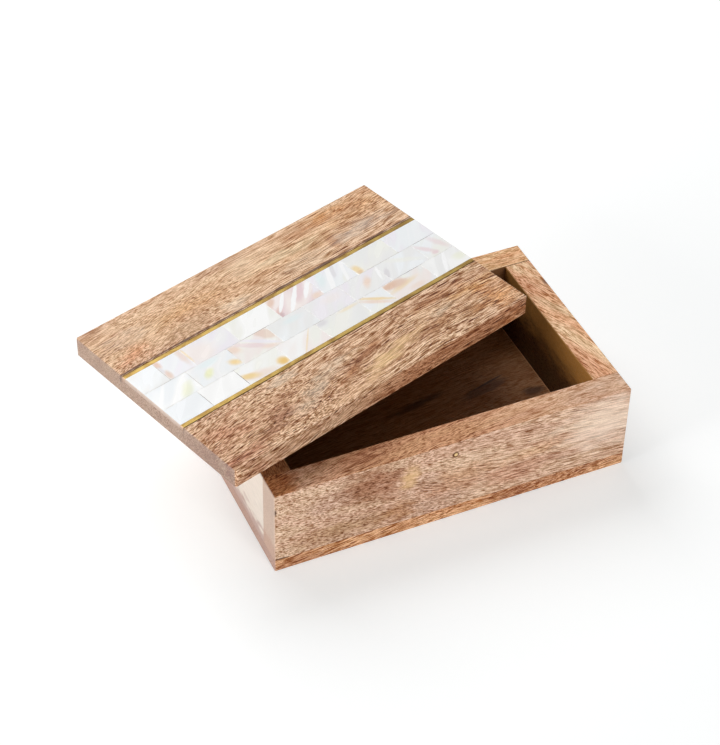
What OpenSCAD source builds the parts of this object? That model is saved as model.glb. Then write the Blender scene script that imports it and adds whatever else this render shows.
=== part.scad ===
// Small wooden keepsake box with a lift-off lid.
// The lid carries a band of mother-of-pearl tiles between two brass strips.
// It lies askew on the open box, on the rims of the left and rear walls.
// Origin: middle of the underside of the box. X along the box, Y to the back, Z up.

/* [Box] */
// Length of the box, left to right
box_length = 178; // [150:1:240]
// Width of the box, front to back
box_width = 115; // [100:1:150]
// Height of the box without its lid
box_height = 47.5; // [35:0.5:80]
// Thickness of the front and rear walls
side_wall = 13; // [8:0.5:16]
// Thickness of the left and right walls
end_wall = 13.5; // [8:0.5:16]
// Thickness of the bottom board under the walls
base_edge = 7; // [5:0.5:10]
// Rise of the bottom board's middle between the walls
base_rise = 3; // [1:0.5:6]
// Gap between the raised middle and each wall
base_gap = 0.2; // [0.1:0.05:0.5]
// Bevel sanded on the outer edges
edge_ease = 0.4; // [0.2:0.1:1.2]
// Bevel sanded on the inner edges of the rim
rim_ease = 0.4; // [0.2:0.1:1]

/* [Lid] */
// Thickness of the lid board
lid_thickness = 10; // [8:0.5:14]
// Bevel on the lid's four upright corners
lid_corner = 1.2; // [0.5:0.1:3]
// Thickness of the locating panel under the lid board
plug_depth = 7.5; // [4:0.5:12]
// Gap between the locating panel and each wall when the lid is shut
plug_gap = 1; // [0.5:0.1:2]
// Turn of the lid as it lies on the box, in degrees
lid_turn = 17.9; // [0:0.1:25]
// Shift of the lid to the left of the box's middle
lid_shift_left = 37.6; // [0:0.1:45]
// Shift of the lid to the back of the box's middle
lid_shift_back = 29.3; // [0:0.1:32]

/* [Inlay] */
// Width of the pearl band between the brass strips
band_width = 39.6; // [30:0.1:50]
// Shift of the pearl band to the back of the lid's middle
band_shift = 0.4; // [-5:0.1:5]
// Thickness of each pearl tile
tile_thickness = 1.2; // [1:0.1:3]
// Joint between neighbouring tiles
tile_joint = 0.25; // [0.1:0.05:0.6]
// Thickness of the adhesive bed under the tiles
bed_thickness = 0.5; // [0.3:0.1:1.5]
// How far the adhesive lies below the tile tops in the joints
joint_hollow = 0.08; // [0.02:0.02:0.3]
// Width of each brass strip
brass_width = 2.2; // [1:0.1:4]
// Height of each brass strip
brass_height = 1.8; // [1.5:0.1:6]
// Glue gap between a brass strip and the wood beside it
glue_gap = 0.3; // [0.1:0.05:0.6]

/* [Hidden] */
ROWS = ["far", "middle", "near"];
// Widths of the rows, and lengths of the tiles in each row from the left, in proportion
ROW_SHARES = [13.6, 13.3, 12.2];
TILE_SHARES = [
    [15.4, 15, 25.6, 25, 26, 21.5, 25.5, 24],
    [23.6, 23.9, 23.2, 22.3, 22, 23, 24, 16],
    [19.4, 21.1, 24.3, 24.2, 26, 15.2, 25.5, 22.3]
];
PEARL_TINTS = ["#e4e6e8", "#dcd9dd", "#ead9cf", "#e2e6de", "#e3d2d0"];
WOOD = "#b98a62";
WOOD_PALE = "#cfa57c";
WOOD_DARK = "#8d6244";

ROW_COUNT = len(ROWS);
TILE_COUNT = len(TILE_SHARES[0]);
// How far a cutter runs past what it cuts
past = 1;

// The lid covers the box exactly
lid_length = box_length;
lid_width = box_width;
opening_length = box_length - 2 * end_wall;
opening_width = box_width - 2 * side_wall;
wall_height = box_height - base_edge;
bed_floor = lid_thickness - tile_thickness - bed_thickness;
tile_floor = lid_thickness - tile_thickness;
brass_floor = lid_thickness - brass_height;
groove_width = brass_width + glue_gap;

function total(list, count) = count == 0 ? 0 : list[count - 1] + total(list, count - 1);

// Start and size of the place-th of some shares of a span, with a joint between each two
function share_size(span, shares, place) =
    (span - (len(shares) - 1) * tile_joint) * shares[place] / total(shares, len(shares));
function share_start(span, shares, place) =
    place == 0 ? 0 : share_start(span, shares, place - 1) + share_size(span, shares, place - 1) + tile_joint;

function tile_name(row, place) = str("pearl_", ROWS[row], "_", place + 1);

// ---- shapes that pieces share ----

module eased_outline(length, width, ease) {
    x = length / 2;
    y = width / 2;
    polygon([
        [x - ease, -y], [x, -y + ease], [x, y - ease], [x - ease, y],
        [-x + ease, y], [-x, y - ease], [-x, -y + ease], [-x + ease, -y]
    ]);
}

// A block that stands on Z = 0, centred in X and Y, with a bevel on every edge
module eased_block(length, width, height, ease, corner) {
    intersection() {
        linear_extrude(height) eased_outline(length, width, corner);
        translate([0, width / 2, height / 2]) rotate([90, 0, 0])
            linear_extrude(width) eased_outline(length, height, ease);
        translate([-length / 2, 0, height / 2]) rotate([90, 0, 90])
            linear_extrude(length) eased_outline(width, height, ease);
    }
}

module centred_block(length, width, height) {
    translate([-length / 2, -width / 2, 0]) cube([length, width, height]);
}

// Half of the opening at the rim, widening upwards at 45 degrees, as an outline
module rim_outline(span) {
    low = span / 2;
    high = low + rim_ease + past;
    polygon([[-low, -rim_ease], [low, -rim_ease], [high, past], [-high, past]]);
}

// The space that the bevel on the rim's inner edges takes away
module rim_cutter() {
    translate([0, 0, box_height])
        intersection() {
            translate([0, box_width / 2, 0]) rotate([90, 0, 0])
                linear_extrude(box_width) rim_outline(opening_length);
            translate([-box_length / 2, 0, 0]) rotate([90, 0, 90])
                linear_extrude(box_length) rim_outline(opening_width);
        }
}

// The box sanded as one block after gluing, less what the children leave
module box_piece() {
    difference() {
        intersection() {
            eased_block(box_length, box_width, box_height, edge_ease, edge_ease);
            children();
        }
        rim_cutter();
    }
}

// A wall's blank, with its middle at x, y
module wall_blank(x, y, length, width) {
    translate([x, y, base_edge]) centred_block(length, width, wall_height);
}

// Where the lid lies: its locating panel rests on the rims
module at_lid() {
    translate([-lid_shift_left, lid_shift_back, box_height + plug_depth]) rotate([0, 0, lid_turn])
        children();
}

module lid_blank() {
    eased_block(lid_length, lid_width, lid_thickness, edge_ease, lid_corner);
}

// A straight bar along the lid, from its near side y, up through the top of the lid
module lid_bar(y, width, floor_z) {
    translate([-lid_length / 2 - past, y, floor_z])
        cube([lid_length + 2 * past, width, lid_thickness - floor_z + past]);
}

band_near = band_shift - band_width / 2;
band_far = band_shift + band_width / 2;

// ---- the box ----

module bottom_board() {
    color(WOOD_DARK) {
        intersection() {
            eased_block(box_length, box_width, box_height, edge_ease, edge_ease);
            centred_block(box_length, box_width, base_edge);
        }
        translate([0, 0, base_edge / 2])
            centred_block(opening_length - 2 * base_gap, opening_width - 2 * base_gap,
                base_edge / 2 + base_rise);
    }
}

module front_wall() {
    color(WOOD) box_piece()
        wall_blank(0, -(box_width - side_wall) / 2, box_length, side_wall);
}

module rear_wall() {
    color(WOOD) box_piece()
        wall_blank(0, (box_width - side_wall) / 2, box_length, side_wall);
}

module left_wall() {
    color(WOOD_PALE) box_piece()
        wall_blank(-(box_length - end_wall) / 2, 0, end_wall, opening_width);
}

module right_wall() {
    color(WOOD) box_piece()
        wall_blank((box_length - end_wall) / 2, 0, end_wall, opening_width);
}

// ---- the lid ----

module lid_board() {
    color(WOOD) at_lid() difference() {
        lid_blank();
        lid_bar(band_near, band_width, bed_floor);
        lid_bar(band_far, groove_width, brass_floor);
        lid_bar(band_near - groove_width, groove_width, brass_floor);
    }
}

module lid_plug() {
    color(WOOD_DARK) at_lid() translate([0, 0, -plug_depth])
        centred_block(opening_length - 2 * plug_gap, opening_width - 2 * plug_gap, plug_depth);
}

// A brass strip with its near side at y
module brass_strip(y) {
    color("#b39a4a") at_lid() intersection() {
        lid_blank();
        lid_bar(y, brass_width, brass_floor);
    }
}

module brass_strip_far() {
    brass_strip(band_far);
}

module brass_strip_near() {
    brass_strip(band_near - brass_width);
}

// The space of one tile; the end tiles run out to the ends of the lid
module tile_blank(row, place) {
    start_x = -lid_length / 2 + share_start(lid_length, TILE_SHARES[row], place);
    end_x = start_x + share_size(lid_length, TILE_SHARES[row], place);
    low_x = place == 0 ? start_x - past : start_x;
    high_x = place == TILE_COUNT - 1 ? end_x + past : end_x;
    top_y = band_far - share_start(band_width, ROW_SHARES, row);
    width = share_size(band_width, ROW_SHARES, row);
    translate([low_x, top_y - width, tile_floor])
        cube([high_x - low_x, width, tile_thickness + past]);
}

module pearl_tile(row, place) {
    color(PEARL_TINTS[(row * 2 + place) % len(PEARL_TINTS)]) at_lid() intersection() {
        lid_blank();
        tile_blank(row, place);
    }
}

// The adhesive under the tiles and in the joints between them
module inlay_bed() {
    color("#d9cdb4") at_lid() difference() {
        intersection() {
            lid_blank();
            translate([-lid_length / 2, band_near, bed_floor])
                cube([lid_length, band_width, tile_thickness + bed_thickness - joint_hollow]);
        }
        for (row = [0 : ROW_COUNT - 1], place = [0 : TILE_COUNT - 1]) tile_blank(row, place);
    }
}

bottom_board();
front_wall();
rear_wall();
left_wall();
right_wall();
lid_board();
lid_plug();
brass_strip_far();
brass_strip_near();
inlay_bed();
for (row = [0 : ROW_COUNT - 1], place = [0 : TILE_COUNT - 1])
    pearl_tile(row, place);
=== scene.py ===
# %% [markdown]
# # A wooden keepsake box with a pearl inlay
# The box is built in CAD as the joiner makes it: five boards for the box, a lid board with a channel
# for the inlay, and every brass strip and pearl tile by itself. This lesson gives those pieces the look
# of the real thing: open-grained wood, brass that has dulled, and mother-of-pearl.

# %% Load the CAD frame
import math

import bmesh
import bpy
from mathutils import Euler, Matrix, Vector


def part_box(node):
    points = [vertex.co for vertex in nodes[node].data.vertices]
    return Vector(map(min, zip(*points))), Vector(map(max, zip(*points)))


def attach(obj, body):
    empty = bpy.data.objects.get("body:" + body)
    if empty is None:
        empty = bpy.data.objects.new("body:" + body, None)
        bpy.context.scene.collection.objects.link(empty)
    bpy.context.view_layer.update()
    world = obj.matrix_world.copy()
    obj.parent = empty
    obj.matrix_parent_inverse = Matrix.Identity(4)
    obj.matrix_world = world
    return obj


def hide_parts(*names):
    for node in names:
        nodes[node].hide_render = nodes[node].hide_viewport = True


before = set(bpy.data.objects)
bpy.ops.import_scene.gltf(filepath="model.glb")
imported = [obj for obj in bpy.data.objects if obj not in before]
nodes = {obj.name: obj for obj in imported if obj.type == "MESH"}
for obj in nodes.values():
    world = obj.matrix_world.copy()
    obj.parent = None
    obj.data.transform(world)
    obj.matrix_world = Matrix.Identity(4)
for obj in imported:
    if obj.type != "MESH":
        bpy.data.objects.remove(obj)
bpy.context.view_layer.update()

# %% [markdown]
# ## Where things are
# Every board has its own frame: its middle, and the way its grain runs. The lid lies turned on the box,
# so its frame is read from its two brass strips: the line from the near strip to the far one points
# across the lid.

# %% Places read from the frame
MM = 0.001


def middle(node):
    low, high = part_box(node)
    return (low + high) / 2


lid_middle = middle("lid_board")
across_lid = middle("brass_strip_far") - middle("brass_strip_near")
lid_turn = math.atan2(-across_lid.x, across_lid.y)
print("the lid is turned by", round(math.degrees(lid_turn), 1), "degrees")

# %% [markdown]
# ## The camera
# A long lens from above and to the left, tipped by a degree, as a camera held by hand would be.

# %% Camera
CAMERA_PLACE = Vector((-0.3334, -0.6705, 0.7157))
CAMERA_AIM = Vector((-0.0215, 0.0018, 0.0475))
CAMERA_ROLL = math.radians(-1.23)
LENS = 104.27
SENSOR = 36

camera_data = bpy.data.cameras.new("camera")
camera_data.lens = LENS
camera_data.sensor_width = SENSOR
camera = bpy.data.objects.new("camera", camera_data)
bpy.context.scene.collection.objects.link(camera)
towards = (CAMERA_AIM - CAMERA_PLACE).to_track_quat("-Z", "Y")
camera.location = CAMERA_PLACE
camera.rotation_mode = "QUATERNION"
camera.rotation_quaternion = towards @ Euler((0, 0, -CAMERA_ROLL)).to_quaternion()
bpy.context.scene.camera = camera
print("camera at", [round(c, 3) for c in camera.location], "with a lens of", round(LENS), "mm")

# %% [markdown]
# ## Small helpers for shader nodes
# A material is a graph. These helpers add one node each and join it to what feeds it, so that the
# recipes below read like sentences.


# %% Adding and joining nodes
def colour(text):
    """A colour written as on the web, such as #c09060, as the linear light that shaders use."""
    parts = [int(text[i : i + 2], 16) / 255 for i in (1, 3, 5)]
    linear = [p / 12.92 if p <= 0.04045 else ((p + 0.055) / 1.055) ** 2.4 for p in parts]
    return (*linear, 1.0)


def feed(tree, socket, value):
    """Joins a socket to another one, or gives it a fixed value."""
    if isinstance(value, bpy.types.NodeSocket):
        tree.links.new(value, socket)
    else:
        socket.default_value = value


def add(tree, kind, inputs=None, **settings):
    """Adds a shader node. inputs feeds its sockets; settings are its menus and switches."""
    node = tree.nodes.new("ShaderNode" + kind)
    for name, value in settings.items():
        setattr(node, name, value)
    for name, value in (inputs or {}).items():
        feed(tree, node.inputs[name], value)
    return node


print("a mid brown in linear light:", [round(part, 3) for part in colour("#a0703c")])


# %% Sums, blends and noise
def calc(tree, operation, a, b=0.0):
    """One sum on plain numbers."""
    return add(tree, "Math", {0: a, 1: b}, operation=operation).outputs[0]


def shift(tree, operation, a, b):
    """One sum on places or colours, three numbers at a time."""
    return add(tree, "VectorMath", {0: a, 1: b}, operation=operation).outputs[0]


def soft_step(tree, value, start, end, low=0.0, high=1.0):
    """Goes smoothly from low to high while value goes from start to end."""
    ramp = add(tree, "MapRange", {0: value, 1: start, 2: end, 3: low, 4: high})
    ramp.interpolation_type = "SMOOTHSTEP"
    return ramp.outputs[0]


def mix(tree, mask, a, b, blend="MIX"):
    """Lays colour b over colour a where mask is 1."""
    return add(tree, "Mix", {0: mask, 6: a, 7: b}, data_type="RGBA", blend_type=blend).outputs[2]


def noise(tree, place, size, detail=0.0, output=0):
    """Noise whose blobs are about size = (x, y, z) millimetres large."""
    scaled = shift(tree, "DIVIDE", place, size)
    wanted = {"Vector": scaled, "Scale": 1.0, "Detail": detail}
    return add(tree, "TexNoise", wanted).outputs[output]


print("noise is sized in millimetres")

# %% [markdown]
# Wood grain, stains and shell are each used by many materials. Each of them is built once, as a group
# of nodes with named sockets, and every material that places the group gives it values of its own.


# %% Node groups
def new_group(name, inputs, outputs):
    """A shader node group with named sockets. inputs gives each socket's kind and default."""
    tree = bpy.data.node_groups.new(name, "ShaderNodeTree")
    for label, (kind, value) in inputs.items():
        socket = tree.interface.new_socket(name=label, in_out="INPUT", socket_type="NodeSocket" + kind)
        socket.default_value = value
    for label, kind in outputs.items():
        tree.interface.new_socket(name=label, in_out="OUTPUT", socket_type="NodeSocket" + kind)
    return tree, tree.nodes.new("NodeGroupInput").outputs, tree.nodes.new("NodeGroupOutput").inputs


def use(tree, group, inputs):
    """Places a group in a material with its own values, and gives its outputs."""
    node = tree.nodes.new("ShaderNodeGroup")
    node.node_tree = group
    for name, value in inputs.items():
        feed(tree, node.inputs[name], value)
    return node.outputs


print("groups built so far:", len(bpy.data.node_groups))

# %% [markdown]
# ## Wood grain
# Mango wood is open-grained: short dark pores lie along the grain, over bands that run from gold to
# purple-brown. The pattern is worked out in the solid, not on the surface, so a board's face, edge and
# end agree. Noise that is stretched along X makes fibres; a slow sway and a quicker curl bend them
# first, and all the finer patterns follow the bent grain.
#
# Each board chooses three tones, its own place in the pattern, and a few habits: Bow curves the grain
# like a bow, Sway and Curl bend it by so many millimetres, Long stretches the fibres and Depth makes
# them darker. Lengthen and Deepen change the last two slowly from one side of the board to the other.

# %% The sockets of the wood grain group
WHITE, GREY = (1, 1, 1, 1), (0.5, 0.5, 0.5)
wood_grain, given, result = new_group(
    "Wood Grain",
    {
        "Vector": ("Vector", (0, 0, 0)),
        "Seed": ("Vector", (0, 0, 0)),
        "Pale": ("Color", WHITE),
        "Tan": ("Color", WHITE),
        "Dark": ("Color", WHITE),
        "Bow": ("Vector", (0, 0, 0)),
        "Sway": ("Float", 7.0),
        "Curl": ("Float", 0.6),
        "Long": ("Float", 1.0),
        "Lengthen": ("Vector", (0, 0, 0)),
        "Depth": ("Float", 1.0),
        "Deepen": ("Vector", (0, 0, 0)),
    },
    {"Color": "Color", "Roughness": "Float", "Height": "Float"},
)
t = wood_grain
place = shift(t, "ADD", given["Vector"], given["Seed"])
print("wood grain group with", len(wood_grain.interface.items_tree), "sockets")

# %% The course of the grain


def bent(tree, place, size, amount):
    """Pushes place sideways, across the grain, by noise of that size in millimetres."""
    push = shift(tree, "SUBTRACT", noise(tree, place, size, 1, output=1), GREY)
    push = shift(tree, "MULTIPLY", push, (0, 2, 2))
    push = add(tree, "VectorMath", {0: push, "Scale": amount}, operation="SCALE").outputs[0]
    return shift(tree, "ADD", place, push)


HUNDRED = 100.0
along = add(t, "SeparateXYZ", {0: given["Vector"]}).outputs[0]
hundreds = calc(t, "DIVIDE", along, HUNDRED)
bow = calc(t, "MULTIPLY", hundreds, hundreds)
bow = add(t, "VectorMath", {0: given["Bow"], "Scale": bow}, operation="SCALE").outputs[0]
grain = shift(t, "SUBTRACT", place, bow)
grain = bent(t, grain, (75, 45, 45), given["Sway"])
grain = bent(t, grain, (16, 6, 7), given["Curl"])
# Where places along the grain move closer together, the fibres grow longer.
lean = shift(t, "DIVIDE", given["Vector"], (HUNDRED,) * 3)
longer = add(t, "VectorMath", {0: lean, 1: given["Lengthen"]}, operation="DOT_PRODUCT").outputs["Value"]
deeper = add(t, "VectorMath", {0: lean, 1: given["Deepen"]}, operation="DOT_PRODUCT").outputs["Value"]
squeeze = calc(t, "SUBTRACT", calc(t, "DIVIDE", 1.0, given["Long"]), calc(t, "ADD", longer, 1.0))
squeeze = calc(t, "MULTIPLY", squeeze, along)
fine = shift(t, "ADD", grain, add(t, "CombineXYZ", {0: squeeze}).outputs[0])
print("the course of the grain:", len(t.nodes), "nodes")

# %% [markdown]
# On that course lie broad bands and dark clouds, and over them the marks: fibres, tiny specks, dashes
# and pores. The marks make wood darker and a little warmer, so they are taken off the colour as the
# eye sees it, between two Gamma nodes, and off blue more than off red. The pores are also rougher
# than the polished wood between them, and a bump lowers all the marks.

# %% The colours and marks of the grain
EYE, WARM = 2.2, (0.9, 1.0, 1.05)
FIBRE_SHARE, SPECK_SHARE, DASH_SHARE, PORE_SHARE = 0.36, 0.14, 0.24, 0.22
bands = soft_step(t, noise(t, grain, (55, 5, 8), 2), 0.36, 0.64)
clouds = soft_step(t, noise(t, grain, (45, 11, 20), 2), 0.46, 0.72)
crowd = soft_step(t, noise(t, grain, (24, 4, 5), 1), 0.30, 0.60, 0.75, 1.0)
fibre = soft_step(t, noise(t, fine, (10, 0.42, 0.42), 2), 0.43, 0.73, -0.24, 0.76)
dashes = soft_step(t, noise(t, shift(t, "ADD", fine, (91, 37, 13)), (9, 0.6, 0.6), 1), 0.48, 0.64)
pores = soft_step(t, noise(t, shift(t, "ADD", fine, (31, 17, 53)), (6, 0.5, 0.5)), 0.52, 0.66)
specks = soft_step(t, noise(t, place, (0.9, 0.55, 0.55), 1), 0.36, 0.76, -0.38, 0.62)
dashes = calc(t, "MULTIPLY", dashes, crowd)
pores = calc(t, "MULTIPLY", pores, crowd)

body = mix(t, bands, given["Tan"], given["Pale"])
body = mix(t, calc(t, "MULTIPLY", clouds, 0.6), body, given["Dark"])
marks = calc(t, "MULTIPLY", fibre, FIBRE_SHARE)
for pattern, share in ((specks, SPECK_SHARE), (dashes, DASH_SHARE), (pores, PORE_SHARE)):
    marks = calc(t, "ADD", marks, calc(t, "MULTIPLY", pattern, share))
marks = calc(t, "MULTIPLY", marks, calc(t, "ADD", given["Depth"], deeper))
seen = add(t, "Gamma", {0: body, 1: 1 / EYE}).outputs[0]
warm_marks = add(t, "VectorMath", {0: WARM, "Scale": marks}, operation="SCALE").outputs[0]
seen = shift(t, "SUBTRACT", seen, warm_marks)
feed(t, result["Color"], add(t, "Gamma", {0: seen, 1: EYE}).outputs[0])
feed(t, result["Roughness"], soft_step(t, pores, 0.0, 1.0, 0.5, 0.75))
feed(t, result["Height"], calc(t, "MULTIPLY", marks, -2.5))
print("wood grain group:", len(t.nodes), "nodes")

# %% [markdown]
# A soft patch is a mask round a point, as wide, long and turned as wanted: it lays a stain, a knot or
# a lighter streak where the real board has one, and also painted shade and painted light. A very thin one
# tints a single face of a board.

# %% The soft patch group
soft_patch, given, result = new_group(
    "Soft Patch",
    {
        "Vector": ("Vector", (0, 0, 0)),
        "Middle": ("Vector", (0, 0, 0)),
        "Size": ("Vector", (10, 10, 10)),
        "Turn": ("Vector", (0, 0, 0)),
        "Ragged": ("Float", 0.5),
        "Soft": ("Float", 0.45),
    },
    {"Mask": "Float"},
)
t = soft_patch
reach = shift(t, "SUBTRACT", given["Vector"], given["Middle"])
reach = add(t, "VectorRotate", {"Vector": reach, "Rotation": given["Turn"]}, rotation_type="EULER_XYZ")
reach = shift(t, "DIVIDE", reach.outputs[0], given["Size"])
distance = add(t, "VectorMath", {0: reach}, operation="LENGTH").outputs["Value"]
frayed = calc(t, "SUBTRACT", noise(t, given["Vector"], (9, 3, 3), 2), 0.5)
frayed = calc(t, "MULTIPLY", frayed, given["Ragged"])
EDGE = 0.75
outside = calc(t, "ADD", EDGE, given["Soft"])
inside = calc(t, "SUBTRACT", EDGE, given["Soft"])
feed(t, result["Mask"], soft_step(t, calc(t, "ADD", distance, frayed), outside, inside))
print("soft patch group:", len(t.nodes), "nodes")

# %% [markdown]
# ## Wood finishes
# The grain of every board is measured from the board's own middle. The Mapping node turns Object
# coordinates, which are in metres, into the board's own millimetres, with X along its grain.


# %% Board coordinates and plain finishes
def board_place(tree, centre, turn=0.0):
    """Millimetres from centre, with X turned to lie along the grain."""
    way = Euler((0, 0, -turn)).to_matrix()
    start = way @ (centre / MM)
    object_place = add(tree, "TexCoord").outputs["Object"]
    wanted = {"Vector": object_place, "Location": -start, "Rotation": (0, 0, -turn)}
    return add(tree, "Mapping", {**wanted, "Scale": (1 / MM,) * 3}).outputs[0]


def new_finish(name):
    """A new material, its nodes and its shader."""
    material = bpy.data.materials.new(name)
    material.use_nodes = True
    tree = material.node_tree
    return material, tree, tree.nodes["Principled BSDF"]


def bump(tree, shader, height, strength, depth):
    """Raises and lowers the surface a little by height, up to depth metres."""
    wanted = {"Height": height, "Strength": strength, "Distance": depth}
    feed(tree, shader.inputs["Normal"], add(tree, "Bump", wanted).outputs[0])


print("a board's own coordinates are in millimetres, with X along its grain")

# %% [markdown]
# Stains and lighter streaks are laid over the grain one after the other. A patch covers the wood with
# its tint as far as its strength says. A glaze multiplies instead: it tints and darkens what is under
# it, as a thin coat of stain does, and the grain stays clear. A few of them, on rims and inner faces, are
# painted shade.

# %% Patches, glazes and the wood recipe
DRY_GLOSS = 0.25


def patch(middle, size, tint, strength=1.0, turn=(0, 0, 0), ragged=0.0, soft=0.45, blend="MIX"):
    """A soft patch in a board's own millimetres; turn is in degrees round its X, Y and Z."""
    turn = [math.radians(-angle) for angle in turn]
    return middle, size, turn, tint, strength, ragged, soft, blend


def glaze_and_shade(middle, size, tint, strength=1.0, **shape):
    """A patch that multiplies the colour under it."""
    return patch(middle, size, tint, strength, blend="MULTIPLY", **shape)


def patched(tree, place, base, patches):
    """Lays soft patches over a colour, one after the other."""
    for centre, size, turn, tint, strength, ragged, soft, blend in patches:
        wanted = {"Vector": place, "Middle": centre, "Size": size, "Turn": turn}
        mask = use(tree, soft_patch, {**wanted, "Ragged": ragged, "Soft": soft})["Mask"]
        base = mix(tree, calc(tree, "MULTIPLY", mask, strength), base, colour(tint), blend)
    return base


def wood_finish(name, centre, turn, seed, tones, dip=0.0, rise=0.0, patches=(), **figure):
    """A board's finish. dip and rise slope its grain by so many degrees, in height and across it."""
    material, tree, shader = new_finish(name)
    place = board_place(tree, centre, turn)
    slope = (0, math.radians(dip), -math.radians(rise))
    sloped = add(tree, "VectorRotate", {"Vector": place, "Rotation": slope}, rotation_type="EULER_XYZ")
    pale, tan, dark = map(colour, tones)
    wanted = {"Vector": sloped.outputs[0], "Seed": seed, "Pale": pale, "Tan": tan, "Dark": dark}
    grain = use(tree, wood_grain, {**wanted, **figure})
    feed(tree, shader.inputs["Base Color"], patched(tree, place, grain["Color"], patches))
    feed(tree, shader.inputs["Roughness"], grain["Roughness"])
    shader.inputs["Specular IOR Level"].default_value = DRY_GLOSS
    bump(tree, shader, grain["Height"], strength=0.3, depth=0.2 * MM)
    return material


print("wood recipe ready")

# %% [markdown]
# ## The woods
# The boards come from different planks, so each has its own tones: pale, tan and dark wood. The left
# wall was sawn at the bark, so its outer face is nearly white sapwood. End grain drinks more oil than
# the faces do, and dries to a mauve or a pale skin.

# %% Wood tones
GOLDEN = ("#f0ccaa", "#eac2a0", "#cda284")
TAN = ("#e0bfa2", "#dbb59b", "#c6a38e")
ROSY = ("#fbd6ae", "#f7c197", "#dc9c78")
ORANGE = ("#e8b78b", "#d6a075", "#a87050")
PEACH_WOOD = ("#ffe4b8", "#ffd4a4", "#f0ac7e")
SAPWOOD = "#fbf2e6"
MAUVE_END, PALE_END = "#988681", "#dbc2b1"
GLUE_LINE, DARK_DENT = "#50301e", "#4a2c1c"
print("golden wood, from pale to dark:", *GOLDEN)

# %% [markdown]
# Every board also has marks of its own, and a few boards also carry painted shade and painted light. They
# are told as a joiner would chalk them on the board, from its middle, in millimetres. A mark's size tells
# how far it reaches: WHOLE is longer than any board, LID and WALL go right through one, and SKIN tints one
# face alone. The lid's far panel is the paler one, and greyer at both ends; the near panel is greyer wood,
# with a golden streak and dark feathers.

# %% Marks on the lid
WHOLE, LID, WALL, SKIN = 300, 9, 20, 0.5
half_length = (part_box("front_wall")[1].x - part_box("front_wall")[0].x) / 2 / MM
half_width = (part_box("rear_wall")[1].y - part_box("front_wall")[0].y) / 2 / MM


def both_ends(tint, strength, height=0):
    """Tints the end grain at the two ends of a long board."""
    places = [(side * half_length, 0, height) for side in (-1, 1)]
    return [patch(place, (SKIN, WHOLE, WHOLE), tint, strength) for place in places]


far_panel = [
    glaze_and_shade((0, 40, 0), (WHOLE, 17, LID), "#fffcf2"),
    patch((-72, 42, 0), (20, 7, LID), "#d2c4b8", 0.3, ragged=1.2),
    glaze_and_shade((-76, 31, 0), (12, 7, LID), "#faded0", turn=(0, 0, 20), ragged=1.2),
    patch((-46, 29, 0), (20, 6, LID), "#ecd0a8", 0.3, ragged=1.2),
    glaze_and_shade((-36, 41, 0), (24, 7, LID), "#f8ecda", ragged=1.2),
    patch((-17, 28, 0), (14, 5, LID), "#fff0da", 0.35, ragged=1.2),
    patch((5, 46, 0), (24, 9, LID), "#ffe8c8", 0.3, ragged=1.2),
    patch((26, 41, 0), (26, 5, LID), "#eadeb8", 0.3, ragged=1.2),
    patch((28, 31, 0), (20, 6, LID), "#ccc4b4", 0.25, ragged=1.2),
    glaze_and_shade((36, 50, 0), (10, 6, LID), "#e2d0c0", ragged=1.2),
    glaze_and_shade((47, 34, 0), (4, 12, LID), "#dcc2aa", turn=(0, 0, -10), ragged=1.2),
    glaze_and_shade((54, 52, 0), (14, 6, LID), "#ecd2b0", ragged=1.2),
    glaze_and_shade((72, 49, 0), (26, 10, LID), "#fceeda", turn=(0, 0, 5), ragged=1.2),
    patch((68, 33, 0), (30, 7, LID), "#d8d2c8", 0.4, ragged=1.2),
]
near_panel = [
    glaze_and_shade((0, -42, 0), (WHOLE, 26, LID), "#eee6de"),
    glaze_and_shade((-76, -36, 0), (20, 14, LID), "#f0dcd6", turn=(0, 0, 20), ragged=1.4),
    glaze_and_shade((-60, -46, 0), (36, 6, LID), "#dccac0", turn=(0, 0, 27), ragged=1.4),
    glaze_and_shade((-50, -45, 0), (13, 8, LID), "#d8c6c0", turn=(0, 0, 20), ragged=1.4),
    glaze_and_shade((-76, -53, 0), (20, 5, LID), "#e2c2b8", ragged=1.4),
    patch((-36, -26, 0), (11, 4, LID), "#e2dac8", 0.35, ragged=1.4),
    patch((-24, -39, 0), (30, 6, LID), "#dcd0bc", 0.4, turn=(0, 0, 22), ragged=1.4),
    glaze_and_shade((3, -38, 0), (34, 3.2, LID), "#d6baa0", turn=(0, 0, 20), ragged=1.4),
    glaze_and_shade((58, -29, 0), (30, 4, LID), "#dec6ae", turn=(0, 0, 3), ragged=1.4),
    glaze_and_shade((76, -35, 0), (20, 5, LID), "#f4deb8", ragged=1.4),
    patch((50, -38, 0), (12, 3, LID), "#ccc2ae", 0.3, turn=(0, 0, 5), ragged=1.4),
    glaze_and_shade((43, -45, 0), (18, 4, LID), "#dac8b4", turn=(0, 0, 8), ragged=1.4),
    glaze_and_shade((63, -48, 0), (12, 4, LID), "#ccb498", turn=(0, 0, 5), ragged=1.4),
    glaze_and_shade((80, -47, 0), (16, 12, LID), "#f6d6b0", ragged=1.4),
    patch((14, -45, 0), (28, 6, LID), "#ffd8a0", 0.6, turn=(0, 0, 14), ragged=1.4),
    patch((-16, -54, 0), (30, 4, LID), "#ffd2a8", 0.35, ragged=1.4),
]
# Glue beside the brass, then the near edge and the sawn ends
lid_marks = far_panel + near_panel + [
    patch((0, 23.4, 4), (WHOLE, 0.75, 4), GLUE_LINE, 0.9, ragged=2.2),
    patch((0, -21.9, 4), (WHOLE, 0.4, 4), GLUE_LINE, 0.7, ragged=2.2),
    glaze_and_shade((45, -half_width, 0), (75, SKIN, WHOLE), "#c8a68f", 0.8, ragged=0.3),
    glaze_and_shade((-50, -half_width, 0), (50, SKIN, WHOLE), "#dfdee0", 0.75, ragged=0.3),
    *both_ends(MAUVE_END, 0.6),
]
print(len(lid_marks), "marks on the lid board")
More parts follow.
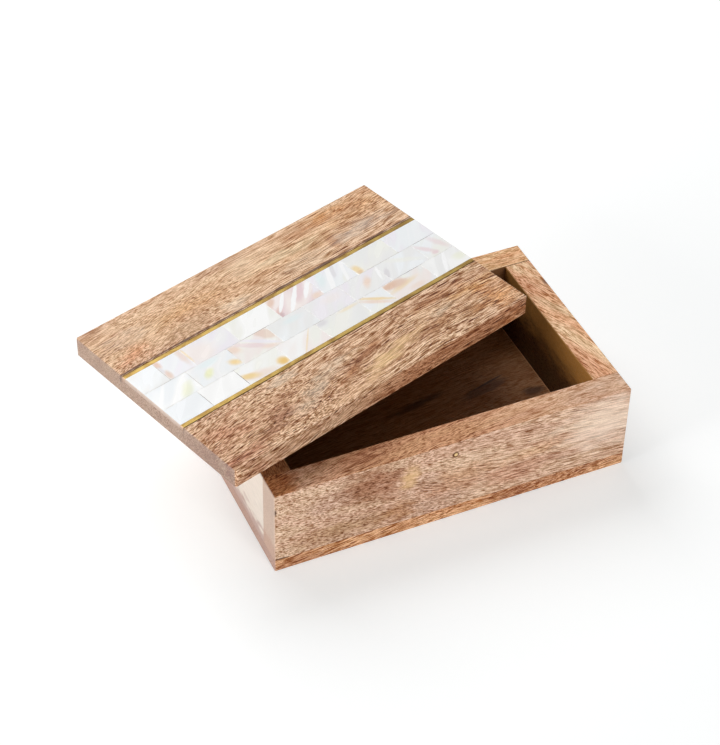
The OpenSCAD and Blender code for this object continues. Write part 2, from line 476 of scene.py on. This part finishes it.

# %% [markdown]
# The front wall has a darker region left of its middle with a golden streak beside it, one small knot
# near the rim, and two dents at its left end. Its rim is darker and warmer, and towards the left it also
# carries painted shade of the lid. Its outer face lies half the wall's thickness in front of its middle.

# %% Marks and painted shade on the front wall
SIDE_FACE, RIM = 6.5, 20.2
front_marks_and_shade = [
    glaze_and_shade((-41, 0, 9), (19, WALL, 16), "#c8ac98", turn=(0, 10, 0), ragged=1.4),
    glaze_and_shade((-54, 0, -13), (34, WALL, 7), "#e4dcc8", ragged=1.4),
    glaze_and_shade((-28, 0, -12), (11, WALL, 8), "#ecdac4", ragged=1.4),
    patch((-23, 0, 6), (5.5, WALL, 9), "#f0c888", 0.45, turn=(0, 14, 0), ragged=1.0),
    glaze_and_shade((2, 0, -4), (26, WALL, 10), "#f4e6da", turn=(0, -8, 0), ragged=1.6),
    glaze_and_shade((36, 0, -10), (26, WALL, 7), "#f6e8e0", turn=(0, -8, 0), ragged=1.2),
    glaze_and_shade((45, 0, 0), (22, WALL, 5), "#fef6ea", turn=(0, -8, 0), ragged=1.2),
    patch((78, 0, 4), (30, WALL, 18), "#ffecd8", 0.5, ragged=1.4),
    # The knot, and the two dents
    patch((-0.7, -SIDE_FACE, 12.4), (2.2, WALL, 2.2), "#5a2c06", soft=0.2),
    patch((-0.5, -SIDE_FACE, 12.3), (1.2, WALL, 1.2), "#e8c890", soft=0.2),
    patch((-88.4, -6, 10), (0.8, 3, 2.4), DARK_DENT, 0.9, ragged=0.3),
    patch((-86, -6, -20), (5, 3, 0.8), DARK_DENT, 0.9, ragged=0.6),
    # The rim, with painted shade of the lid towards its left, and the sawn ends
    glaze_and_shade((-20, 0, RIM), (70, WHOLE, SKIN), "#f0cca8", 0.8, ragged=0.3),
    glaze_and_shade((-85, 0, RIM), (11, WHOLE, SKIN), "#deb890", ragged=0.8),
    patch((62, 0, RIM), (50, WHOLE, SKIN), "#f8b27c", 0.2, ragged=0.3),
    patch((-half_length, 0, 0), (SKIN, WHOLE, WHOLE), PALE_END, 0.86),
    glaze_and_shade((-half_length, 0, 12), (SKIN, WHOLE, 11), "#f8f8f8", ragged=1.5),
    glaze_and_shade((-half_length, 0, -16), (SKIN, WHOLE, 7), "#f6eae6", ragged=1.5),
    patch((half_length, 0, 0), (SKIN, WHOLE, WHOLE), PALE_END, 0.85),
]
print(len(front_marks_and_shade), "marks on the front wall")

# %% [markdown]
# The inner faces of the rear, right and left walls and the floor are dark: the floor is stained, and the
# walls carry painted shade inside the box over their stain. The right wall's inner face has painted light
# below its rim and painted shade in its lower front corner; its rim has a small dent. The left wall's rim
# has painted shade of the lid. The bottom board also has a line of glue along its front seam, a few dark
# figures where its grain turns, and a thin pale line beside the right wall. The left wall's outer face is
# sapwood, brown again near its foot.

# %% Marks, painted shade and painted light on the other boards
END_FACE = 6.75
rear_marks_and_shade = [
    # The inner face: dark stain, with painted shade where the lid covers it
    patch((0, -SIDE_FACE, 0), (WHOLE, SKIN, WHOLE), "#5c3410", 0.95),
    glaze_and_shade((0, SIDE_FACE, 0), (WHOLE, SKIN, 19), "#eadfe0"),
    *both_ends(PALE_END, 0.85),
]
right_marks_light_and_shade = [
    # The inner face: dark stain, with painted shade inside the box
    glaze_and_shade((0, END_FACE, 0), (WHOLE, SKIN, WHOLE), "#4f4028"),
    # Painted light on the upper inner face, below the rim
    patch((0, END_FACE, 22), (WHOLE, SKIN, 22), "#b07c3c", 0.7, ragged=0.8),
    # Painted shade in the lower front corner of the inner face
    glaze_and_shade((-40, END_FACE, -10), (16, SKIN, 14), "#8c7460", 0.9, ragged=0.8),
    patch((26.6, -6.5, 20), (3, 2, 3), "#7a4a30", 0.9, ragged=0.6),
]
floor_marks = [
    patch((0, 0, 5), (WHOLE, WHOLE, SKIN), "#865428", 0.75),
    patch((0, -half_width, 3.2), (WHOLE, 2, 0.7), "#6a4026", 0.8, ragged=1.6),
    patch((47, 5, 5), (17, 4, 2), "#4c2c1c", 0.65, turn=(0, 0, 12), ragged=0.6, soft=0.2),
    patch((50, 8.5, 5), (13, 0.8, 2), "#3a200e", 0.8, turn=(0, 0, 15), ragged=0.4, soft=0.3),
    patch((12, 8, 5), (20, 2.6, 2), "#3c200e", 0.8, turn=(0, 0, 12), ragged=1.0),
    patch((68, -6, 5), (7, 4, 2), "#3c200e", 0.8, ragged=1.0),
    patch((75.2, 0, 5), (0.5, WHOLE, 2), "#c89468", 0.9),
    patch((-half_length, 0, 0), (SKIN, WHOLE, WHOLE), "#c4a498", 0.85),
]
left_marks_and_shade = [
    # Painted shade of the lid on the rim
    glaze_and_shade((0, 0, 20.25), (WHOLE, WHOLE, SKIN), "#b89876"),
    # The inner face: dark stain, with painted shade of the lid
    patch((0, -END_FACE, 0), (WHOLE, SKIN, WHOLE), "#6e4c28", 0.85),
    patch((0, END_FACE, 0), (WHOLE, SKIN, WHOLE), SAPWOOD, 0.86),
    patch((0, END_FACE, -19), (WHOLE, SKIN, 6.5), "#c09c92", 0.8, ragged=2.5),
]
print(len(rear_marks_and_shade + right_marks_light_and_shade + floor_marks + left_marks_and_shade), "marks on the other boards")

# %% [markdown]
# Each board is cut from its own place in the tree: its seed moves it through the solid pattern. Dip
# and rise slope its grain by a few degrees, as no plank is sawn quite true to the grain.

# %% The boards of the box and the lid
ALONG_Y = math.pi / 2
boards = {
    "lid_board": wood_finish(
        "lid wood", lid_middle, lid_turn, (0, 0, 0), GOLDEN, dip=4, rise=2.5, patches=lid_marks,
        Bow=(0, -3, -5), Lengthen=(0.2, 0.4, 0), Depth=1.05, Deepen=(0.1, -0.55, 0),
    ),
    "lid_plug": wood_finish("lid panel wood", lid_middle, lid_turn, (300, 90, 40), TAN, dip=3, rise=5),
    "front_wall": wood_finish(
        "front wall wood", middle("front_wall"), 0, (500, 20, 70), TAN, dip=-7, rise=8, patches=front_marks_and_shade,
        Bow=(0, -8, 0), Sway=4, Long=0.9, Lengthen=(0.4, 0, 0), Depth=0.83,
    ),
    "rear_wall": wood_finish(
        "rear wall wood", middle("rear_wall"), 0, (800, 60, 10), PEACH_WOOD, dip=-5, rise=6,
        patches=rear_marks_and_shade, Depth=0.8,
    ),
    "left_wall": wood_finish(
        "left wall wood", middle("left_wall"), ALONG_Y, (100, 260, 30), TAN, dip=8, rise=4,
        patches=left_marks_and_shade, Depth=0.8,
    ),
    "right_wall": wood_finish(
        "right wall wood", middle("right_wall"), ALONG_Y, (400, 160, 90), ROSY, dip=4, rise=18,
        patches=right_marks_light_and_shade, Depth=0.74,
    ),
    "bottom_board": wood_finish(
        "bottom wood", middle("bottom_board"), 0, (600, 360, 50), ORANGE, dip=4, rise=6, patches=floor_marks
    ),
}


def dress(node, material):
    """Gives a CAD piece its material."""
    nodes[node].data.materials.clear()
    nodes[node].data.materials.append(material)


for node, material in boards.items():
    dress(node, material)
print(len(boards), "boards finished")

# %% [markdown]
# ## Mother-of-pearl
# Each tile is sawn from a shell and polished flat. It is nearly white, with a breath of blue, green or
# pink, and shows amber or rose only where the saw met another layer. So a tile is described as a
# sorter would: by its body, its clouds, and the few spots and slanting streaks that stand out.

# %% The mother-of-pearl group
pearl_group, given, result = new_group(
    "Mother of Pearl",
    {
        "Vector": ("Vector", (0, 0, 0)),
        "Seed": ("Vector", (0, 0, 0)),
        "Body": ("Color", WHITE),
        "Cloud": ("Color", WHITE),
        "Streaks": ("Float", 0.0),
        "Lean": ("Float", -0.85),
    },
    {"Color": "Color", "Roughness": "Float", "Height": "Float"},
)
t = pearl_group
place = shift(t, "ADD", given["Vector"], given["Seed"])
parts = add(t, "SeparateXYZ", {0: place}).outputs
SWAY = 4.0
sway = calc(t, "MULTIPLY", calc(t, "SUBTRACT", noise(t, place, (12, 12, 12)), 0.5), SWAY)
leant = calc(t, "ADD", calc(t, "ADD", parts[0], calc(t, "MULTIPLY", parts[1], given["Lean"])), sway)
along = add(t, "CombineXYZ", {0: leant, 1: parts[1], 2: parts[2]}).outputs[0]
clouds = soft_step(t, noise(t, along, (8, 16, 9), 1), 0.36, 0.64)
body = mix(t, clouds, given["Body"], given["Cloud"])
sheen = noise(t, along, (7, 16, 9), 1, output=1)
SHEEN = 0.12
body = mix(t, SHEEN, body, sheen, "SOFT_LIGHT")
streaks = soft_step(t, noise(t, along, (3.2, 60, 30)), 0.48, 0.66)
body = mix(t, calc(t, "MULTIPLY", streaks, given["Streaks"]), body, WHITE)
feed(t, result["Color"], body)
feed(t, result["Roughness"], soft_step(t, clouds, 0, 1, 0.16, 0.28))
feed(t, result["Height"], noise(t, along, (2.5, 9, 9), 1))
print("mother-of-pearl group:", len(t.nodes), "nodes")

# %% Shell colours and spots
MILK, ICE, MIST, CREAM = "#fdfdfc", "#f4f7f9", "#f1f1f0", "#f5f5ee"
LILAC, BLUSH, ROSE, PEACH = "#f3eff5", "#f7eeea", "#eed8da", "#f4decf"
AMBER, TAWNY, OLIVE, RUST = "#f5d89e", "#e8cab6", "#eceec4", "#dfb090"
AQUA, SHADE, BRIGHT = "#eaf4f5", "#e2dfe2", "#ffffff"


def spot(x, y, long, wide, shell, strength=0.8, turn=0, soft=0.45):
    """A stain in the shell, in millimetres from a tile's middle.

    turn is its slant in degrees, and a low soft makes its edge crisp.
    """
    return patch((x, y, 0), (long, wide, 4), shell, strength, turn=(0, 0, turn), ragged=0.5, soft=soft)


print("plain shell:", MILK, ICE, MIST, CREAM)

# %% [markdown]
# A tile is its body, its clouds, how streaked it is, and its spots. The tiles are told from the left of
# each row. The fifth and sixth of the far row are the liveliest: bright slanting streaks cross them.

# %% Tiles of the far row
far_row = [
    (MIST, ICE, 0.1, []),
    (ICE, LILAC, 0.3, [
        spot(-6.3, 4.6, 3.6, 2.0, RUST, 0.7, 90), spot(-6.0, -3.6, 3.8, 1.9, TAWNY, 0.8, 84),
        spot(-6.8, 0.8, 3, 1.1, SHADE, 0.8, 90), spot(6.0, 2.5, 8, 2.2, TAWNY, 0.6, 88),
    ]),
    (LILAC, MIST, 0.1, [spot(-7, -1, 11, 9, BLUSH, 1.0), spot(-12.4, 2, 7, 1.0, AMBER, 0.6, 90)]),
    (CREAM, MILK, 0.1, []),
    (ROSE, BLUSH, 0.1, [
        spot(-10.5, 4.8, 5.5, 2.2, RUST, 0.6, 48), spot(-11.6, -3.0, 4.5, 1.8, RUST, 0.4, 48),
        spot(-12.2, -5.4, 2.4, 1.8, "#d0b4b8", 0.8, 40), spot(12.5, -1, 10, 2.4, LILAC, 1.0, 50, 0.3),
        spot(9.5, -5.2, 3.8, 2.6, PEACH, 1.0, 30), spot(-6.4, 1.6, 9.5, 1.3, BRIGHT, 1.0, 45, 0.15),
        spot(0.2, 0.4, 13, 1.6, BRIGHT, 1.0, 45, 0.15), spot(8.6, 1.2, 9.5, 1.6, BRIGHT, 1.0, 45, 0.15),
    ]),
    (ICE, LILAC, 0.2, [
        spot(-5.5, 2.5, 7, 2.8, AQUA, 1.0, 60), spot(3.0, 3.2, 7, 1.6, SHADE, 0.7, 62, 0.3),
        spot(4.5, -4.5, 5, 2, CREAM, 0.8, 50), spot(-1.6, -0.4, 14, 1.9, BRIGHT, 1.0, 62, 0.12),
        spot(7.6, 0.5, 13, 1.3, BRIGHT, 0.9, 66, 0.2),
    ]),
    (MIST, CREAM, 0.1, [
        spot(-10.8, -4.0, 4.6, 2.6, AMBER, 0.8, 90), spot(-10.8, -5.6, 2, 1.5, RUST, 0.4),
    ]),
    (ICE, LILAC, 0.2, []),
]
print(len(far_row), "tiles in the far row")

# %% Tiles of the middle row
middle_row = [
    (ICE, MILK, 0.2, [spot(5.3, -3.2, 8, 3.2, OLIVE, 0.6, 45), spot(-6, 1, 10, 1.2, BRIGHT, 1.0, 48)]),
    (ICE, MIST, 0.2, [
        spot(-4.3, -1.0, 4.4, 2.3, OLIVE, 1.0, 38), spot(9.5, -2.7, 4.2, 2.6, AMBER, 1.0, -32),
        spot(0, 4.5, 7, 2.6, AQUA, 0.9),
    ]),
    (BLUSH, CREAM, 0.1, [
        spot(-9.6, 3.8, 4.5, 3.2, PEACH, 1.0, -40), spot(8.8, 3.2, 8, 4.2, TAWNY, 0.65, -52, 0.25),
        spot(-0.5, 0.5, 12, 2.2, ROSE, 0.7, -40, 0.3), spot(5, -4.6, 5, 2, PEACH, 0.7, -20),
        spot(3.6, 0.8, 12, 1.6, LILAC, 1.0, -42, 0.25),
    ]),
    (MIST, ICE, 0.1, [spot(2, 3, 7, 2.4, AQUA, 0.8)]),
    (MIST, LILAC, 0.1, [spot(3, 2.5, 7, 3.4, BLUSH, 0.6)]),
    (LILAC, MIST, 0.1, [
        spot(1.5, 0.3, 5.4, 2.4, PEACH, 1.0, 50), spot(9.8, 1.2, 6, 1.1, BRIGHT, 1.0, 70, 0.2),
    ]),
    (MIST, ICE, 0.2, [
        spot(-11, -1.5, 6, 1.9, SHADE, 0.9, 55, 0.3), spot(2, 1.5, 12, 2.2, CREAM, 0.8, -32),
    ]),
    (CREAM, ICE, 0.1, [
        spot(-4.4, 0.2, 7.5, 1.9, ROSE, 0.7, -55), spot(-2, -4.6, 2.4, 1.6, ROSE, 0.9),
        spot(4, 0.5, 8, 2.5, ROSE, 0.6, -70),
    ]),
]
print(len(middle_row), "tiles in the middle row")

# %% Tiles of the near row
near_row = [
    (ICE, ICE, 0.1, []),
    (MILK, MILK, 0.0, []),
    (MILK, CREAM, 0.1, [
        spot(-4, -3.4, 11, 3.4, PEACH, 0.7, -10), spot(-9, -1.4, 6, 2.4, AMBER, 1.0, -25),
        spot(9.3, -2.8, 4.4, 3.6, AMBER, 1.0, 0, 0.3), spot(9.6, -3.6, 2.6, 2.4, "#f2c468", 0.7),
    ]),
    (MILK, BLUSH, 0.1, [
        spot(8, 1, 10, 4, CREAM, 1.0, 45), spot(1.8, -0.4, 12, 0.6, AMBER, 0.5, 46, 0.3),
    ]),
    (MIST, CREAM, 0.1, [spot(-10, 4.6, 3.8, 2.1, SHADE, 0.8), spot(6.5, 5, 7, 1.4, AMBER, 0.4)]),
    (ICE, CREAM, 0.1, [
        spot(-0.8, -0.4, 11, 1.7, PEACH, 0.9, -38), spot(0.5, 1.3, 13, 1.3, AMBER, 0.8, -38),
    ]),
    (BLUSH, MIST, 0.1, [
        spot(2, -4, 6, 2.4, PEACH, 0.6), spot(-3.5, 0.8, 11, 2.2, AMBER, 0.6, 8),
        spot(-6.5, 3.4, 10, 3.6, TAWNY, 0.9, -4, 0.3), spot(-9, 3.8, 5, 2.4, RUST, 0.4),
        spot(1, 4.9, 2, 1.5, CREAM, 1.0),
    ]),
    (MILK, MIST, 0.1, [
        spot(-0.5, 0.6, 10, 1.5, BRIGHT, 1.0, 55, 0.2), spot(8, -1, 5, 3.4, OLIVE, 0.4),
    ]),
]
print(len(near_row), "tiles in the near row")

# %% [markdown]
# The outer tiles run to the ends of the lid, where the saw cut them. Those cut ends are dull and brown,
# as are the ends of the brass and of the adhesive.

# %% The pearl finish
TILES = {"far": far_row, "middle": middle_row, "near": near_row}
ROW_SEEDS = {"far": 33, "middle": 66, "near": 44}
CUT_END = "#c9ab96"
lid_ends = both_ends(CUT_END, 0.85, height=4)


def pearl_finish(node, kind, seed):
    """The material of one tile, with the lid's dull ends laid over it."""
    body, cloud, streaks, spots = kind
    material, tree, shader = new_finish(node.replace("_", " "))
    place = board_place(tree, middle(node), lid_turn)
    wanted = {"Vector": place, "Seed": seed, "Body": colour(body), "Cloud": colour(cloud)}
    shell = use(tree, pearl_group, {**wanted, "Streaks": streaks})
    polished = patched(tree, place, shell["Color"], spots)
    across = board_place(tree, lid_middle, lid_turn)
    feed(tree, shader.inputs["Base Color"], patched(tree, across, polished, lid_ends))
    feed(tree, shader.inputs["Roughness"], shell["Roughness"])
    bump(tree, shader, shell["Height"], strength=0.15, depth=0.1 * MM)
    return material


for row, kinds in TILES.items():
    for number, kind in enumerate(kinds, 1):
        tile = f"pearl_{row}_{number}"
        dress(tile, pearl_finish(tile, kind, (37 * number, ROW_SEEDS[row], 23 * number)))
print(sum(map(len, TILES.values())), "pearl tiles finished")

# %% [markdown]
# ## Brass and adhesive
# The brass has dulled to olive, with fine scratches along it from the polishing wheel. The adhesive is
# cream, and has taken up dirt in the open joints.

# %% Brass
BRASS, TARNISH = "#988048", "#7e6436"
brass, tree, shader = new_finish("dull brass")
place = board_place(tree, lid_middle, lid_turn)
tarnish = soft_step(tree, noise(tree, place, (7, 3, 3), 3), 0.38, 0.66)
scratches = noise(tree, place, (24, 0.12, 0.5), 2)
metal = mix(tree, tarnish, colour(BRASS), colour(TARNISH))
feed(tree, shader.inputs["Base Color"], patched(tree, place, metal, lid_ends))
feed(tree, shader.inputs["Roughness"], soft_step(tree, scratches, 0.3, 0.7, 0.32, 0.55))
shader.inputs["Metallic"].default_value = 1.0
bump(tree, shader, scratches, strength=0.2, depth=0.05 * MM)
dress("brass_strip_far", brass)
dress("brass_strip_near", brass)
print("brass:", BRASS, "where bright,", TARNISH, "where dull")

# %% [markdown]
# Each smudge of dirt or dust lies along one joint of the inlay: the first five in joints across the
# band, the next six in joints along it, and the last beside the far brass strip.

# %% Adhesive
DIRT, DUST = "#4a382c", "#a0948a"
joint_dirt = [
    patch((-69.7, -13, 4), (1.2, 8, 3), DIRT, 0.8, ragged=0.6),
    patch((-48.5, -14, 4), (1.2, 8, 3), DIRT, ragged=0.6),
    patch((-73.6, 13, 4), (1.2, 9, 3), DUST, 0.8, ragged=0.6),
    patch((-65.5, -0.5, 4), (1.2, 9, 3), DUST, 0.7, ragged=0.6),
    patch((-41.6, 3.5, 4), (1.2, 5, 3), DUST, 0.6, ragged=0.6),
    patch((-76, 6.5, 4), (7, 1.0, 3), DUST, 0.8, ragged=1.0),
    patch((-24.5, 6.5, 4), (10, 1.0, 3), DUST, 0.9, ragged=1.0),
    patch((2.5, -7.1, 4), (4, 1.0, 3), DUST, 0.9, ragged=1.0),
    patch((60, -7.1, 4), (9, 1.0, 3), DIRT, ragged=1.0),
    patch((80, 6.5, 4), (9, 1.0, 3), DIRT, 0.8, ragged=1.0),
    patch((58, 6.5, 4), (20, 1.0, 3), DUST, 0.4, ragged=1.0),
    patch((-65, 19.8, 4), (2.6, 1.0, 3), DIRT, 0.9, ragged=0.6),
]
CLEAN_CREAM, USED_CREAM = "#fbfaf8", "#ece7de"
adhesive, tree, shader = new_finish("cream adhesive")
place = board_place(tree, lid_middle, lid_turn)
grime = soft_step(tree, noise(tree, place, (4, 4, 4), 2), 0.42, 0.66)
cream = mix(tree, grime, colour(CLEAN_CREAM), colour(USED_CREAM))
feed(tree, shader.inputs["Base Color"], patched(tree, place, cream, joint_dirt + lid_ends))
feed(tree, shader.inputs["Roughness"], soft_step(tree, grime, 0.0, 1.0, 0.55, 0.8))
dress("inlay_bed", adhesive)
print("adhesive with", len(joint_dirt), "smudges of dirt and dust")

# %% [markdown]
# ## Eased edges and seams
# The CAD pieces meet in perfect corners, and no hand-made board does. Each piece but the adhesive is
# copied, its loose triangles are merged into whole faces, and its outer corners are rounded a little.
# Where two boards are flush, the two rounded corners leave the fine groove that a real seam has.

# %% A dressed piece
SHARP = math.radians(20)
FLAT = math.radians(1)
SAME_PLACE = 0.001 * MM


def dressed(node, body, easing):
    """A copy of a CAD piece with its outer corners rounded by easing metres."""
    source = nodes[node]
    shape = bmesh.new()
    shape.from_mesh(source.data)
    bmesh.ops.remove_doubles(shape, verts=shape.verts, dist=SAME_PLACE)
    bmesh.ops.dissolve_limit(shape, angle_limit=FLAT, verts=shape.verts, edges=shape.edges)
    corners = [edge for edge in shape.edges if edge.is_convex and edge.calc_face_angle(0) > SHARP]
    rounding = {"offset": easing, "offset_type": "OFFSET", "segments": 2, "profile": 0.5, "material": -1}
    bmesh.ops.bevel(shape, geom=corners, affect="EDGES", clamp_overlap=True, **rounding)
    bmesh.ops.recalc_face_normals(shape, faces=shape.faces)
    mesh = bpy.data.meshes.new(node + "_dressed")
    shape.to_mesh(mesh)
    shape.free()
    mesh.materials.append(source.data.materials[0])
    piece = bpy.data.objects.new(node + "_dressed", mesh)
    bpy.context.scene.collection.objects.link(piece)
    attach(piece, body)
    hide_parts(node)
    return piece


print("outer corners sharper than", round(math.degrees(SHARP)), "degrees are rounded")

# %% All the dressed pieces
WOOD_EASE, BRASS_EASE, PEARL_EASE = 0.15 * MM, 0.12 * MM, 0.05 * MM
box_boards = [node for node in boards if not node.startswith("lid")]
lid_boards = [node for node in boards if node.startswith("lid")]
tiles = [node for node in nodes if node.startswith("pearl")]
strips = ["brass_strip_far", "brass_strip_near"]
pieces = [dressed(node, "box", WOOD_EASE) for node in box_boards]
pieces += [dressed(node, "lid", WOOD_EASE) for node in lid_boards]
pieces += [dressed(node, "lid", BRASS_EASE) for node in strips]
pieces += [dressed(node, "lid", PEARL_EASE) for node in tiles]
print(len(pieces), "dressed pieces,", sum(len(piece.data.polygons) for piece in pieces), "faces")

# %% [markdown]
# ## Floor and light
# The box stands on white paper. The paper is a little brighter to the eye than it is to the box: Light
# Path tells the rays that look at it, straight or in a gloss, from the rays that carry its light to the
# wood. To those that look it glows, in a white that is slightly cool, and it still takes the shadow.

# %% Floor
FLOOR_HALF = 3.0
floor_mesh = bmesh.new()
bmesh.ops.create_grid(floor_mesh, x_segments=1, y_segments=1, size=FLOOR_HALF)
floor_data = bpy.data.meshes.new("floor")
floor_mesh.to_mesh(floor_data)
floor = bpy.data.objects.new("floor", floor_data)
bpy.context.scene.collection.objects.link(floor)
print("floor of", 2 * FLOOR_HALF, "by", 2 * FLOOR_HALF, "metres")

# %% White paper
PAPER = (0.82, 0.82, 0.82, 1.0)
SEEN_PAPER = (0.62, 0.62, 0.62, 1.0)
COOL_WHITE = (0.975, 1.0, 1.0, 1.0)
SEEN_GLOW = 0.485


def looking_rays(tree):
    """1 for a ray from the camera, or one that a gloss or glass sends on; 0 for all other light."""
    path = add(tree, "LightPath").outputs
    looked = calc(tree, "MAXIMUM", path["Is Camera Ray"], path["Is Glossy Ray"])
    return calc(tree, "MAXIMUM", looked, path["Is Transmission Ray"])


paper = bpy.data.materials.new("white paper")
paper.use_nodes = True
tree = paper.node_tree
tree.nodes.clear()
plain = add(tree, "BsdfDiffuse", {"Color": PAPER}).outputs[0]
seen = add(tree, "BsdfDiffuse", {"Color": SEEN_PAPER}).outputs[0]
glow = add(tree, "Emission", {"Color": COOL_WHITE, "Strength": SEEN_GLOW}).outputs[0]
seen = add(tree, "AddShader", {0: seen, 1: glow}).outputs[0]
paper_mix = add(tree, "MixShader", {0: looking_rays(tree), 1: plain, 2: seen}).outputs[0]
tree.links.new(paper_mix, add(tree, "OutputMaterial").inputs["Surface"])
floor_data.materials.append(paper)
print("paper glows with strength", SEEN_GLOW, "where it is looked at")

# %% [markdown]
# Three soft boxes light it, and a dim sky fills the shadows. The nearest and largest stands behind and
# gives the most light, so a soft shadow falls towards the viewer. The other two stand low, at the left
# and in front: they light the upright faces about as brightly as the top, and leave the inside dark.

# %% Lights
LAMP_AIM = Vector((0, 0, 0.03))
# Each lamp: the way it lies from the box, its distance and size in metres, its power in watts.
LAMPS = {
    "back box": (Vector((-0.22, 0.75, 0.80)), 1.7, 1.2, 23.2),
    "left box": (Vector((-1.00, -0.10, 0.30)), 1.9, 0.7, 16.0),
    "front box": (Vector((0.15, -1.00, 0.20)), 2.2, 0.7, 27.0),
}
for name, (way, distance, size, power) in LAMPS.items():
    lamp_data = bpy.data.lights.new(name, "AREA")
    lamp_data.shape = "SQUARE"
    lamp_data.size = size
    lamp_data.energy = power
    lamp = bpy.data.objects.new(name, lamp_data)
    bpy.context.scene.collection.objects.link(lamp)
    lamp.location = LAMP_AIM + way.normalized() * distance
    lamp.rotation_mode = "QUATERNION"
    lamp.rotation_quaternion = (LAMP_AIM - lamp.location).to_track_quat("-Z", "Y")
print("lamps:", ", ".join(f"{name} of {power} watts" for name, (_, _, _, power) in LAMPS.items()))

# %% [markdown]
# The sky is dim, so that the inside of the box stays dark, and pure white where it is looked at.

# %% Sky
SKY = 0.16
world = bpy.data.worlds.new("world")
bpy.context.scene.world = world
world.use_nodes = True
tree = world.node_tree
tree.nodes.clear()
strength = soft_step(tree, looking_rays(tree), 0, 1, SKY, 1.0)
sky = add(tree, "Background", {"Color": WHITE, "Strength": strength}).outputs[0]
tree.links.new(sky, add(tree, "OutputWorld").inputs["Surface"])
bpy.context.scene.view_settings.view_transform = "Standard"
print("sky of strength", SKY)
